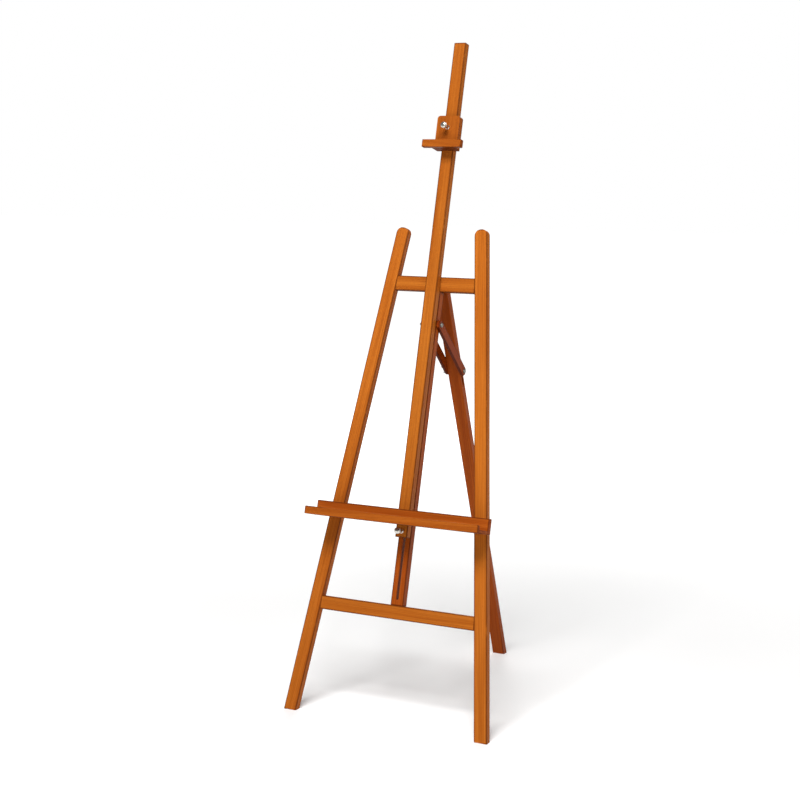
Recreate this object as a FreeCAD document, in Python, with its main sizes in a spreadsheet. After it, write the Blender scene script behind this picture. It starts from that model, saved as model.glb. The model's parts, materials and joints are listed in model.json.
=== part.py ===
"""Studio easel of A-frame form: two splayed front legs joined by two crossbars, a slotted centre
post, a mast with a tray that slides on the post, a canvas clamp that slides on the mast, and one
hinged back leg held by a pair of brace arms.  Millimetres, +Z up, feet on Z = 0."""
import FreeCAD, Part
import math
import os
import re

import Sketcher
from FreeCAD import Placement, Rotation, Vector

# Driving dimensions.  A level is measured up along the leaning front frame from the floor line.
SIZES = {
    "lean_angle": 14.5,
    "opening_angle": 34.6,
    # front legs
    "leg_rise": 1450,
    "leg_width": 40,
    "leg_thickness": 22,
    "leg_top_radius": 18,
    "foot_spread": 618,
    "top_spread": 252,
    "saw_allowance": 40,
    "edge_round": 2,
    # crossbars and centre post
    "upper_bar_level": 1283,
    "upper_bar_depth": 44,
    "lower_bar_level": 322,
    "lower_bar_depth": 40,
    "bar_thickness": 20,
    "post_width": 40,
    "post_thickness": 25,
    "slot_width": 8,
    "slot_foot_margin": 16,
    "slot_top_level": 1120,
    "channel_width": 16,
    "channel_depth": 12,
    "dowel_diameter": 8,
    "dowel_length": 40,
    "dowel_spacing": 20,
    "post_dowel_length": 26,
    "post_dowel_depth": 14,
    "post_dowel_spacing": 18,
    # mast and its guide
    "slide_gap": 0.5,
    "mast_width": 38,
    "mast_thickness": 24,
    "mast_foot_level": 538,
    "mast_length": 1464,
    "guide_rise": 334,
    "guide_shank_diameter": 7,
    "guide_head_diameter": 12,
    "guide_head_height": 3.5,
    "guide_head_round": 1.4,
    "guide_thread_diameter": 4.5,
    "guide_thread_length": 16,
    "guide_washer_diameter": 15,
    "guide_washer_thickness": 1.5,
    "channel_gap": 0.3,
    # tray
    "tray_level": 574,
    "tray_length": 556,
    "tray_reach": 70,
    "rail_height": 45,
    "rail_thickness": 18,
    "lip_height": 23,
    "lip_thickness": 12,
    "board_thickness": 10,
    "rail_screw_spacing": 24,
    "board_dowel_spacing": 240,
    "board_dowel_diameter": 5,
    "board_dowel_length": 16,
    "wood_screw_diameter": 4,
    "wood_screw_head": 8,
    "wood_screw_length": 32,
    # thumbscrews
    "lock_level": 556,
    "screw_diameter": 6,
    "bore_gap": 0.08,
    "knob_diameter": 18,
    "knob_head_length": 9,
    "knob_neck_diameter": 9,
    "knob_collar_diameter": 13,
    "knob_collar_length": 2,
    "knob_reach": 33,
    "knob_round": 2.5,
    "knob_seat_gap": 0.3,
    "nut_width": 15.4,
    "nut_thickness": 8,
    "nut_round": 0.5,
    "bolt_proud": 1,
    # canvas clamp
    "clamp_level": 1676,
    "clamp_width": 72,
    "clamp_height": 101,
    "clamp_thickness": 23,
    "clamp_overhang": 15.3,
    "clamp_shoulder_radius": 9,
    "clamp_cove_radius": 9,
    "clamp_gap": 0.3,
    "clamp_screw_rise": 66,
    "insert_diameter": 10,
    "insert_length": 12,
    "ledge_length": 126,
    "ledge_height": 23,
    "ledge_thickness": 17,
    "ledge_reach": 30,
    "ledge_dowel_spacing": 40,
    "ledge_dowel_length": 22,
    "strap_thickness": 1.5,
    "strap_height": 30,
    "strap_rise": 51,
    "strap_flange": 12,
    "strap_screw_spacing": 16,
    "strap_screw_diameter": 3,
    "strap_screw_head": 6,
    "strap_screw_length": 14,
    # hinge
    "hinge_level": 1293,
    "hinge_length": 36,
    "knuckle_length": 12,
    "knuckle_gap": 0.3,
    "knuckle_diameter": 6,
    "hinge_pin_diameter": 3,
    "hinge_standoff": 3.4,
    "leaf_height": 28,
    "leaf_thickness": 2,
    "leaf_screw_drop": 17,
    "leaf_screw_spacing": 12,
    "leaf_screw_diameter": 3,
    "leaf_screw_head": 6,
    "leaf_screw_length": 14,
    # back leg and brace
    "back_leg_width": 40,
    "back_leg_thickness": 22,
    "back_leg_head": 3,
    "brace_pivot_level": 1165,
    "brace_length": 220,
    "arm_width": 27,
    "arm_thickness": 9,
    "arm_end_radius": 13,
    "arm_side_gap": 0.5,
    "brace_slot_gap": 1.3,
    "bolt_head_diameter": 13,
    "bolt_head_height": 3,
    "bolt_head_round": 2,
    "bolt_nut_size": 11,
    "bolt_nut_height": 5,
    "washer_diameter": 14,
    "washer_thickness": 1.2,
    "bolt_end": 3,
    "wing_span": 30,
    "wing_tip": 7,
    "wing_height": 12,
    "wing_thickness": 3,
    "wing_root": 1,
}

doc = FreeCAD.newDocument("Easel")
sheet = doc.addObject("Spreadsheet::Sheet", "Sizes")
for row, (word, number) in enumerate(SIZES.items(), start=1):
    sheet.set(f"A{row}", word)
    sheet.set(f"B{row}", str(number))
    sheet.setAlias(f"B{row}", word)
doc.recompute()


# ---------------------------------------------------------------- expressions and frames
def size(word):
    """Value of a driving dimension."""
    return float(sheet.get(word))


def in_cells(text):
    """An expression with its plain words turned into cells of the sheet."""
    def cell(found):
        return "Sizes." + found.group() if found.group() in SIZES else found.group()
    return re.sub(r"[a-z_]+", cell, text)


def bind(thing, path, text):
    """Drive a property with an expression of plain words."""
    thing.setExpression(path, in_cells(text))


def value(text):
    """Number that an expression comes to now, so that a sketch starts out near its solution."""
    result = sheet.evalExpression(in_cells(text))
    return float(getattr(result, "Value", result))


# Depths are measured forward from the middle of the front legs' thickness.
LEG_FRONT = "leg_thickness / 2"
BAR_BACK = f"({LEG_FRONT} - bar_thickness)"
POST_BACK = f"({LEG_FRONT} - post_thickness)"
POST_MIDDLE = f"({LEG_FRONT} - post_thickness / 2)"
CHANNEL_FLOOR = f"({POST_BACK} + channel_depth)"
MAST_BACK = f"({LEG_FRONT} + slide_gap)"
MAST_FRONT = f"({MAST_BACK} + mast_thickness)"
RAIL_FRONT = f"({MAST_FRONT} + rail_thickness)"
LIP_FRONT = f"({RAIL_FRONT} + tray_reach)"
LIP_BACK = f"({LIP_FRONT} - lip_thickness)"
CLAMP_FRONT = f"({MAST_FRONT} + clamp_overhang)"
CLAMP_BACK = f"({CLAMP_FRONT} - clamp_thickness)"
LEDGE_FRONT = f"({CLAMP_FRONT} + ledge_reach)"
LEDGE_BACK = f"({LEDGE_FRONT} - ledge_thickness)"
ARM_INNER = "(max(post_width; back_leg_width; mast_width) / 2 + arm_side_gap)"
ARM_OUTER = f"({ARM_INNER} + arm_thickness)"
LOWER_BAR_TOP = "(lower_bar_level + lower_bar_depth / 2)"
UPPER_BAR_FOOT = "(upper_bar_level - upper_bar_depth / 2)"
SLOT_FOOT_LEVEL = f"({LOWER_BAR_TOP} + slot_foot_margin)"
TAPER = "((foot_spread - top_spread) / 2 / leg_rise)"


def inner_half(level):
    """Half the clear width between the front legs at a level."""
    return f"(foot_spread / 2 - ({level}) * {TAPER} - leg_width / 2 * sqrt(1 + {TAPER} ^ 2))"


lean = size("lean_angle")
opening = size("opening_angle")
leg_front = size("leg_thickness") / 2
taper = (size("foot_spread") - size("top_spread")) / 2 / size("leg_rise")
splay = math.degrees(math.atan(taper))
hinge_depth = leg_front - size("bar_thickness") - size("hinge_standoff")
post_middle = leg_front - size("post_thickness") / 2

# The feet of the front legs and of the back leg lie the same distance either side of Y = 0.
back_tilt = math.radians(opening - lean)
lean_sin = math.sin(math.radians(lean))
lean_cos = math.cos(math.radians(lean))
pin_height = size("hinge_level") * lean_cos + hinge_depth * lean_sin
pin_back = size("hinge_level") * lean_sin - hinge_depth * lean_cos
back_heel = pin_back + pin_height * math.tan(back_tilt)
back_heel += (size("hinge_standoff") + size("back_leg_thickness")) / math.cos(back_tilt)
front_toe = -leg_front / lean_cos
FRAME = Placement(Vector(0, -(back_heel + front_toe) / 2, 0), Rotation(Vector(1, 0, 0), -lean))


def frame_at(level, depth=0.0, across=0.0, tilt=0.0):
    """Local frame on the leaning front frame: X across, Z up the frame, Y to the rear."""
    return FRAME.multiply(Placement(Vector(across, -depth, level), Rotation(Vector(1, 0, 0), tilt)))


def facing_front(level, across=0.0):
    """Local frame whose Z axis points out of the front of the frame."""
    return FRAME.multiply(Placement(Vector(across, 0, level), Rotation(Vector(1, 0, 0), 90)))


# Brace triangle: the slot line of the back leg is met by an arc about the brace pivot.
rise = size("hinge_level") - size("brace_pivot_level")
pivot_offset = post_middle - hinge_depth
slot_offset = size("hinge_standoff") + size("back_leg_thickness") / 2


def bolt_travel(angle):
    """Distance of the brace bolt down the back leg from the hinge pin at an opening angle."""
    turn = math.radians(angle)
    across = rise * math.sin(turn) + pivot_offset * math.cos(turn) + slot_offset
    along = rise * math.cos(turn) - pivot_offset * math.sin(turn)
    return along + math.sqrt(size("brace_length") ** 2 - across ** 2)


def arm_angle(angle):
    """Angle of the brace arms from the post at an opening angle of the back leg."""
    turn = math.radians(angle)
    travel = bolt_travel(angle)
    down = travel * math.cos(turn) - rise - slot_offset * math.sin(turn)
    back = pivot_offset + slot_offset * math.cos(turn) + travel * math.sin(turn)
    return math.degrees(math.atan2(back, down))


HINGE = frame_at(size("hinge_level"), hinge_depth)
BACK_LEG = frame_at(size("hinge_level"), hinge_depth, tilt=opening)
BRACE = frame_at(size("brace_pivot_level"), post_middle, tilt=arm_angle(opening))


def brace_reach(angle):
    """Travel of the brace bolt as an expression, for the slot in the back leg."""
    offset = f"({POST_MIDDLE} - {BAR_BACK} + hinge_standoff)"
    height = "(hinge_level - brace_pivot_level)"
    to_slot = "(hinge_standoff + back_leg_thickness / 2)"
    across = f"({height} * sin({angle}) + {offset} * cos({angle}) + {to_slot})"
    along = f"{height} * cos({angle}) - {offset} * sin({angle})"
    return f"({along} + sqrt(brace_length ^ 2 - {across} ^ 2))"


# ---------------------------------------------------------------- building blocks
TOUCH = 0.1  # how near an edge's limit lies to a face that it is on
cuts = []
nodes = []


def new_body(label, placement=FRAME):
    body = doc.addObject("PartDesign::Body", label + "_body")
    body.Placement = placement
    return body


def attach(body, feature, plane, x="0", y="0", z="0"):
    """Put a sketch or a primitive on an origin plane of its body, moved by three expressions."""
    base = [item for item in body.Origin.OriginFeatures if item.Role == f"{plane}_Plane"][0]
    feature.AttachmentSupport = [(base, "")]
    feature.MapMode = "FlatFace"
    for axis, text in (("x", x), ("y", y), ("z", z)):
        bind(feature, f"AttachmentOffset.Base.{axis}", text)


def outline(body, plane, points, z="0"):
    """Closed sketch of straight lines through points given as pairs of expressions."""
    sketch = body.newObject("Sketcher::SketchObject", body.Name + "_outline")
    attach(body, sketch, plane, z=z)
    count = len(points)
    start = [Vector(value(x), value(y), 0) for x, y in points]
    for i in range(count):
        sketch.addGeometry(Part.LineSegment(start[i], start[(i + 1) % count]), False)
    for i in range(count):
        sketch.addConstraint(Sketcher.Constraint("Coincident", i, 2, (i + 1) % count, 1))
    for i, point in enumerate(points):
        for kind, text in zip(("DistanceX", "DistanceY"), point):
            place = start[i].x if kind == "DistanceX" else start[i].y
            index = sketch.addConstraint(Sketcher.Constraint(kind, -1, 1, i, 1, place))
            name = f"{kind[-1].lower()}_{i}"
            sketch.renameConstraint(index, name)
            bind(sketch, f"Constraints.{name}", text)
    return sketch


def rectangle(body, plane, across, along, z="0"):
    """Rectangle sketch between two limits across and two along."""
    corners = [(across[0], along[0]), (across[1], along[0]), (across[1], along[1]), (across[0], along[1])]
    return outline(body, plane, corners, z)


def circle(body, plane, diameter, x="0", y="0", z="0"):
    sketch = body.newObject("Sketcher::SketchObject", body.Name + "_circle")
    attach(body, sketch, plane, x, y, z)
    across = value(diameter)
    sketch.addGeometry(Part.Circle(Vector(0, 0, 0), Vector(0, 0, 1), across / 2), False)
    sketch.addConstraint(Sketcher.Constraint("Coincident", 0, 3, -1, 1))
    index = sketch.addConstraint(Sketcher.Constraint("Diameter", 0, across))
    sketch.renameConstraint(index, "diameter")
    bind(sketch, "Constraints.diameter", diameter)
    return sketch


def stadium(body, plane, width, low, high, x="0", z="0"):
    """Upright slot outline with round ends; low and high are the extreme ends."""
    sketch = body.newObject("Sketcher::SketchObject", body.Name + "_slot")
    attach(body, sketch, plane, x, f"({low}) + ({width}) / 2", z)
    span = f"({high}) - ({low}) - ({width})"
    radius = value(width) / 2
    length = value(span)
    normal = Vector(0, 0, 1)
    foot = Part.Circle(Vector(0, 0, 0), normal, radius)
    head = Part.Circle(Vector(0, length, 0), normal, radius)
    sketch.addGeometry(Part.ArcOfCircle(foot, math.pi, 2 * math.pi), False)
    sketch.addGeometry(Part.LineSegment(Vector(radius, 0, 0), Vector(radius, length, 0)), False)
    sketch.addGeometry(Part.ArcOfCircle(head, 0, math.pi), False)
    sketch.addGeometry(Part.LineSegment(Vector(-radius, length, 0), Vector(-radius, 0, 0)), False)
    sketch.addConstraint([
        Sketcher.Constraint("Tangent", 0, 2, 1, 1),
        Sketcher.Constraint("Tangent", 1, 2, 2, 1),
        Sketcher.Constraint("Tangent", 2, 2, 3, 1),
        Sketcher.Constraint("Tangent", 3, 2, 0, 1),
        Sketcher.Constraint("Vertical", 1),
        Sketcher.Constraint("Coincident", 0, 3, -1, 1)])
    index = sketch.addConstraint(Sketcher.Constraint("Radius", 0, radius))
    sketch.renameConstraint(index, "radius")
    bind(sketch, "Constraints.radius", f"({width}) / 2")
    index = sketch.addConstraint(Sketcher.Constraint("DistanceY", 0, 3, 2, 3, length))
    sketch.renameConstraint(index, "length")
    bind(sketch, "Constraints.length", span)
    return sketch


def pad(body, sketch, length, symmetric=False):
    feature = body.newObject("PartDesign::Pad", body.Name + "_pad")
    feature.Profile = sketch
    bind(feature, "Length", length)
    if symmetric:
        feature.SideType = "Symmetric"
    doc.recompute()
    return feature


def pocket(body, sketch, length=None, along_normal=False):
    """Cut away a sketch: to a depth, or through the whole piece both ways when no depth is given."""
    before = body.Tip.Shape.Volume
    feature = body.newObject("PartDesign::Pocket", body.Name + "_pocket")
    feature.Profile = sketch
    feature.Reversed = along_normal
    if length is None:
        feature.SideType = "Symmetric"
        feature.Type = "ThroughAll"
    else:
        bind(feature, "Length", length)
    doc.recompute()
    cuts.append((feature.Name, before, feature.Shape.Volume))
    return feature


def soften(body, radius, keep):
    """Round the edges of the body's last feature that the test keep accepts."""
    base = body.Tip
    names = [f"Edge{i}" for i, edge in enumerate(base.Shape.Edges, start=1) if keep(edge)]
    feature = body.newObject("PartDesign::Fillet", body.Name + "_round")
    feature.Base = (base, names)
    bind(feature, "Radius", radius)
    doc.recompute()
    return feature


def every_edge(edge):
    return True


def runs_along(axis, test=None):
    """Test for straight edges along an axis, in the body's own frame, at places test accepts."""
    def keep(edge):
        if edge.Curve.TypeId != "Part::GeomLine":
            return False
        direction = edge.tangentAt(edge.FirstParameter)
        along = abs(getattr(direction, axis)) > 0.999
        return along and (test is None or test(edge.CenterOfMass))
    return keep


def rod(body, diameter, start, length, plane="XY", x="0", y="0"):
    """Cylinder added to a body, square to an origin plane."""
    feature = body.newObject("PartDesign::AdditiveCylinder", body.Name + "_rod")
    attach(body, feature, plane, x, y, start)
    bind(feature, "Radius", f"({diameter}) / 2")
    bind(feature, "Height", length)
    doc.recompute()
    return feature


def fitted(piece, *inserts):
    """The piece with holes that its inserts fill exactly."""
    for insert in inserts:
        cut = doc.addObject("Part::Cut", piece.Name + "_fitted")
        cut.Base = piece
        cut.Tool = insert
        doc.recompute()
        cuts.append((cut.Name, cut.Base.Shape.Volume, cut.Shape.Volume))
        piece = cut
    return piece


def node(label, piece):
    """Name a finished sub-part."""
    piece.Label = label
    nodes.append(piece)
    return piece


def group(name, pieces):
    """Identical fasteners kept together as separate solids."""
    compound = doc.addObject("Part::Compound", name)
    compound.Links = pieces
    doc.recompute()
    return compound


def pin(name, diameter, length, placement):
    """Plain round pin centred on its placement, with its axis along Z."""
    cylinder = doc.addObject("Part::Cylinder", name)
    bind(cylinder, "Radius", f"({diameter}) / 2")
    bind(cylinder, "Height", length)
    doc.recompute()
    half = cylinder.Height.Value / 2
    cylinder.Placement = placement.multiply(Placement(Vector(0, 0, -half), Rotation()))
    return cylinder


def wood_screw(name, placement, shank, head, length):
    """Countersunk screw that points along +Z from the surface its head is flush with."""
    taper_head = doc.addObject("Part::Cone", name + "_head")
    bind(taper_head, "Radius1", f"{head} / 2")
    bind(taper_head, "Radius2", f"{shank} / 2")
    bind(taper_head, "Height", f"({head} - {shank}) / 2")
    thread = doc.addObject("Part::Cylinder", name + "_shank")
    bind(thread, "Radius", f"{shank} / 2")
    bind(thread, "Height", length)
    screw = doc.addObject("Part::Fuse", name)
    screw.Base = taper_head
    screw.Tool = thread
    screw.Refine = True
    screw.Placement = placement
    doc.recompute()
    return screw


def turned(across, about="x", angle=0.0):
    """Placement moved by a vector and turned about one axis."""
    axes = {"x": Vector(1, 0, 0), "y": Vector(0, 1, 0)}
    return Placement(across, Rotation(axes[about], angle))


# ---------------------------------------------------------------- front frame
def floor_block():
    """Everything under the floor, for sawing the feet level."""
    block = doc.addObject("Part::Box", "floor_block")
    bind(block, "Length", "2 * foot_spread")
    bind(block, "Width", "4 * leg_rise")
    bind(block, "Height", "10 * saw_allowance")
    doc.recompute()
    block.Placement.Base = Vector(-block.Length.Value / 2, -block.Width.Value / 2, -block.Height.Value)
    return block


def front_leg(side, name):
    """Batten with a round top, standing on the floor line and leaning to the middle."""
    stand = frame_at(0, across=side * size("foot_spread") / 2)
    body = new_body(name, stand.multiply(turned(Vector(), "y", -side * splay)))
    half = "leg_width / 2"
    top = f"leg_rise * sqrt(1 + {TAPER} ^ 2)"
    face = rectangle(body, "XZ", (f"-{half}", half), ("-saw_allowance", top), "-leg_thickness / 2")
    pad(body, face, "leg_thickness")
    soften(body, "leg_top_radius", runs_along("y", lambda place: place.z > 0))
    soften(body, "edge_round", every_edge)
    return body


def bar(name, level, depth):
    """Crossbar between the front legs, its ends cut to their slant, flush at the front."""
    body = new_body(name)
    low = f"({level} - {depth} / 2)"
    high = f"({level} + {depth} / 2)"
    points = [(f"-{inner_half(low)}", low), (inner_half(low), low),
              (inner_half(high), high), (f"-{inner_half(high)}", high)]
    pad(body, outline(body, "XZ", points, BAR_BACK), "bar_thickness")
    soften(body, "edge_round", runs_along("x"))
    return body


def bar_dowels(name, level):
    """Two dowels at each end of a crossbar, half in the bar and half in the leg."""
    middle = leg_front - size("bar_thickness") / 2
    reach = size("foot_spread") / 2 - level * taper - size("leg_width") / 2 * math.hypot(1, taper)
    pins = []
    for side in (-1, 1):
        for step in (-0.5, 0.5):
            height = level + step * size("dowel_spacing")
            place = frame_at(height, middle, side * reach).multiply(turned(Vector(), "y", 90))
            pins.append(pin(name + "_pin", "dowel_diameter", "dowel_length", place))
    return group(name, pins)


def post_dowels():
    """Two dowels at each end of the centre post."""
    middle = leg_front - size("bar_thickness") / 2
    shift = size("post_dowel_length") / 2 - size("post_dowel_depth")
    low = size("lower_bar_level") + size("lower_bar_depth") / 2 - shift
    high = size("upper_bar_level") - size("upper_bar_depth") / 2 + shift
    pins = []
    for level in (low, high):
        for step in (-0.5, 0.5):
            place = frame_at(level, middle, step * size("post_dowel_spacing"))
            pins.append(pin("post_dowel", "dowel_diameter", "post_dowel_length", place))
    return group("post_dowels", pins)


def center_post():
    """Post with a slot right through it that opens into a wider channel at the back."""
    body = new_body("center_post")
    half = "post_width / 2"
    face = rectangle(body, "XZ", (f"-{half}", half), (LOWER_BAR_TOP, UPPER_BAR_FOOT), POST_BACK)
    pad(body, face, "post_thickness")
    soften(body, "edge_round", runs_along("z"))
    slot = stadium(body, "XZ", "slot_width", SLOT_FOOT_LEVEL, "slot_top_level", z=LEG_FRONT)
    pocket(body, slot)
    flare = "(channel_width - slot_width) / 2"
    channel = stadium(body, "XZ", "channel_width", f"{SLOT_FOOT_LEVEL} - {flare}",
                      f"slot_top_level + {flare}", z=POST_BACK)
    pocket(body, channel, "channel_depth", along_normal=True)
    return body


# ---------------------------------------------------------------- hinge and back leg
def hinge_leaf(name, placement, outer, front):
    """Leaf with its knuckles about the pin: the outer pair or the middle one."""
    body = new_body(name, placement)
    half = "hinge_length / 2"
    sign = "+" if outer else "-"
    middle = f"(knuckle_length / 2 {sign} knuckle_gap / 2)"
    relief = "-(knuckle_diameter / 2 + knuckle_gap)"
    foot = "-leaf_height"
    if outer:
        points = [(f"-{half}", foot), (half, foot), (half, "0"), (middle, "0"), (middle, relief),
                  (f"-{middle}", relief), (f"-{middle}", "0"), (f"-{half}", "0")]
    else:
        points = [(f"-{half}", foot), (half, foot), (half, relief), (middle, relief), (middle, "0"),
                  (f"-{middle}", "0"), (f"-{middle}", relief), (f"-{half}", relief)]
    pad(body, outline(body, "XZ", points, front), "leaf_thickness")
    if outer:
        rod(body, "knuckle_diameter", middle, f"{half} - {middle}", "YZ")
        rod(body, "knuckle_diameter", f"-{half}", f"{half} - {middle}", "YZ")
    else:
        rod(body, "knuckle_diameter", f"-{middle}", f"2 * {middle}", "YZ")
    if not outer:
        pocket(body, circle(body, "YZ", "hinge_pin_diameter + 2 * bore_gap"))
    return body


def leaf_screws(name, placement, depth, heading):
    """Row of screws through a hinge leaf into the wood."""
    screws = []
    for step in (-1, 0, 1):
        spot = Vector(step * size("leaf_screw_spacing"), depth, -size("leaf_screw_drop"))
        place = placement.multiply(turned(spot, "x", heading))
        screws.append(wood_screw(name + "_screw", place, "leaf_screw_diameter", "leaf_screw_head",
                                 "leaf_screw_length"))
    return group(name, screws)


def back_leg():
    """Batten behind the hinge pin, with a side slot for the brace bolt."""
    body = new_body("back_leg", BACK_LEG)
    half = "back_leg_width / 2"
    drop = f"(hinge_level * cos(lean_angle) + ({BAR_BACK} - hinge_standoff) * sin(lean_angle))"
    foot = f"-({drop} / cos(opening_angle - lean_angle) + saw_allowance)"
    face = rectangle(body, "XZ", (f"-{half}", half), (foot, "back_leg_head"),
                     "-(hinge_standoff + back_leg_thickness)")
    pad(body, face, "back_leg_thickness")
    soften(body, "edge_round", every_edge)
    width = "screw_diameter + 2 * brace_slot_gap"
    near = f"-{brace_reach('opening_angle')} + ({width}) / 2"
    far = f"-{brace_reach('0')} - ({width}) / 2"
    slot = stadium(body, "YZ", width, far, near, x="hinge_standoff + back_leg_thickness / 2")
    pocket(body, slot)
    return body


# ---------------------------------------------------------------- brace
def brace_arm(name, side):
    """Flat arm with round ends, beside the post and the back leg."""
    body = new_body(name, BRACE)
    half = "arm_width / 2"
    start = ARM_INNER if side > 0 else f"-{ARM_OUTER}"
    face = rectangle(body, "YZ", (f"-{half}", half), (f"-brace_length - {half}", half), start)
    pad(body, face, "arm_thickness")
    soften(body, "arm_end_radius", runs_along("x"))
    soften(body, "edge_round / 2", every_edge)
    pocket(body, circle(body, "YZ", "screw_diameter + 2 * bore_gap"))
    return body


def brace_grip(gap):
    """Distance from the middle plane to the underside of a brace bolt's head or nut."""
    return f"({ARM_OUTER} + washer_thickness + {gap})"


def brace_bolt(name, level, gap):
    """Round-headed bolt across both arms; its head is on the right and its end on the left."""
    body = new_body(name, BRACE)
    grip = brace_grip(gap)
    tail = f"({grip} + bolt_nut_height + bolt_end)"
    rod(body, "screw_diameter", f"-{tail}", f"{tail} + {grip}", "YZ", y=level)
    rod(body, "bolt_head_diameter", grip, "bolt_head_height", "YZ", y=level)
    outermost = body.Tip.Shape.BoundBox.XMax
    soften(body, "bolt_head_round", lambda edge: edge.BoundBox.XMin > outermost - TOUCH)
    return body


def brace_washers(name, level, gap):
    """Washers under the head and under the nut of a brace bolt."""
    pieces = []
    for start in (f"{ARM_OUTER} + {gap}", f"-{brace_grip(gap)}"):
        body = new_body(name + "_ring", BRACE)
        rod(body, "washer_diameter", start, "washer_thickness", "YZ", y=level)
        pocket(body, circle(body, "YZ", "screw_diameter", y=level))
        pieces.append(body)
    return group(name, pieces)


def brace_nut(name, level, gap, wings=False):
    """Six-sided nut on the left end of a brace bolt, with two finger wings if asked."""
    body = new_body(name, BRACE)
    grip = brace_grip(gap)
    prism = body.newObject("PartDesign::AdditivePrism", name + "_hexagon")
    attach(body, prism, "YZ", y=level, z=f"-({grip} + bolt_nut_height)")
    prism.Polygon = 6
    bind(prism, "Circumradius", "bolt_nut_size / 2 / cos(30)")
    bind(prism, "Height", "bolt_nut_height")
    doc.recompute()
    if wings:
        face = f"-({grip} + wing_root)"
        outer = f"-({grip} + bolt_nut_height)"
        tip = f"-({grip} + wing_height)"
        bow = [(face, "bolt_nut_size / 2"), (tip, "wing_span / 2"), (tip, "wing_span / 2 - wing_tip"),
               (outer, "bolt_nut_size / 4")]
        bow += [(x, f"-({z})") for x, z in reversed(bow)]
        plate = outline(body, "XZ", [(x, f"{level} + {z}") for x, z in bow])
        pad(body, plate, "wing_thickness", symmetric=True)
    return body


# ---------------------------------------------------------------- mast and tray
def mast():
    """Batten in front of the post and the upper crossbar, bored for the lock bolt."""
    body = new_body("mast")
    half = "mast_width / 2"
    face = rectangle(body, "XZ", (f"-{half}", half),
                     ("mast_foot_level", "mast_foot_level + mast_length"), MAST_BACK)
    pad(body, face, "mast_thickness")
    soften(body, "edge_round", every_edge)
    pocket(body, circle(body, "XZ", "screw_diameter + 2 * bore_gap", y="lock_level"))
    return body


def guide_screw():
    """Shouldered screw from the back of the mast, whose head runs in the post's channel."""
    body = new_body("mast_guide_screw", facing_front(size("lock_level") + size("guide_rise")))
    washer_back = f"({CHANNEL_FLOOR} - channel_gap - guide_washer_thickness)"
    head_back = f"({washer_back} - guide_head_height)"
    rod(body, "guide_head_diameter", head_back, "guide_head_height")
    lowest = body.Tip.Shape.BoundBox.ZMin
    soften(body, "guide_head_round", lambda edge: edge.BoundBox.ZMax < lowest + TOUCH)
    rod(body, "guide_shank_diameter", washer_back, f"{MAST_BACK} - {washer_back}")
    rod(body, "guide_thread_diameter", MAST_BACK, "guide_thread_length")
    return body


def guide_washer():
    body = new_body("mast_guide_washer", facing_front(size("lock_level") + size("guide_rise")))
    rod(body, "guide_washer_diameter", f"{CHANNEL_FLOOR} - channel_gap - guide_washer_thickness",
        "guide_washer_thickness")
    pocket(body, circle(body, "XY", "guide_shank_diameter"))
    return body


def lock_nut():
    """Square nut that rides in the post's channel and cannot turn there."""
    body = new_body("mast_lock_nut")
    half = "nut_width / 2"
    face = rectangle(body, "XZ", (f"-{half}", half), (f"lock_level - {half}", f"lock_level + {half}"),
                     f"{CHANNEL_FLOOR} - channel_gap - nut_thickness")
    pad(body, face, "nut_thickness")
    soften(body, "nut_round", every_edge)
    pocket(body, circle(body, "XZ", "screw_diameter + 2 * bore_gap", y="lock_level"))
    return body


def tray_board(name, back, front, height):
    """One full-length board of the tray, with its underside at the tray level."""
    body = new_body(name)
    half = "tray_length / 2"
    face = rectangle(body, "XZ", (f"-{half}", half), ("tray_level", f"tray_level + {height}"), back)
    pad(body, face, f"{front} - {back}")
    return body


def tray_rail():
    body = tray_board("tray_rail", MAST_FRONT, RAIL_FRONT, "rail_height")
    soften(body, "edge_round", every_edge)
    return body


def tray_lip():
    body = tray_board("tray_lip", LIP_BACK, LIP_FRONT, "lip_height")
    soften(body, "edge_round", every_edge)
    return body


def rail_screws():
    """Screws from the back of the mast into the tray rail, one above the other."""
    middle = size("tray_level") + size("rail_height") / 2
    back = leg_front + size("slide_gap")
    screws = []
    for step in (-0.5, 0.5):
        place = facing_front(middle + step * size("rail_screw_spacing"))
        place = place.multiply(turned(Vector(0, 0, back)))
        screws.append(wood_screw("rail_screw", place, "wood_screw_diameter", "wood_screw_head",
                                 "wood_screw_length"))
    return group("tray_rail_screws", screws)


def board_dowels():
    """Hidden dowels along both joints of the bottom board, with the rail and with the lip."""
    level = size("tray_level") + size("board_thickness") / 2
    rail_joint = leg_front + size("slide_gap") + size("mast_thickness") + size("rail_thickness")
    lip_joint = rail_joint + size("tray_reach") - size("lip_thickness")
    pins = []
    for joint in (rail_joint, lip_joint):
        for step in (-1, 0, 1):
            spot = facing_front(level, step * size("board_dowel_spacing"))
            place = spot.multiply(turned(Vector(0, 0, joint)))
            pins.append(pin("board_dowel", "board_dowel_diameter", "board_dowel_length", place))
    return group("tray_board_dowels", pins)


# ---------------------------------------------------------------- thumbscrews
def knob(name, placement, seat):
    """Turned knob: a collar by the wood, a slim neck and a round head."""
    body = new_body(name, placement)
    start = f"({seat} + knob_seat_gap)"
    head = f"({seat} + knob_reach - knob_head_length)"
    rod(body, "knob_collar_diameter", start, "knob_collar_length")
    rod(body, "knob_neck_diameter", start, f"{head} - {start}")
    rod(body, "knob_diameter", head, "knob_head_length")
    widest = size("knob_diameter") / 2
    soften(body, "knob_round", lambda edge: edge.BoundBox.XMax > widest - TOUCH and edge.Closed)
    return body


def knob_screw(name, placement, start, seat):
    """Plain screw shank that ends inside the knob's head."""
    body = new_body(name, placement)
    rod(body, "screw_diameter", start, f"{seat} + knob_reach - knob_head_length / 2 - ({start})")
    return body


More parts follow.
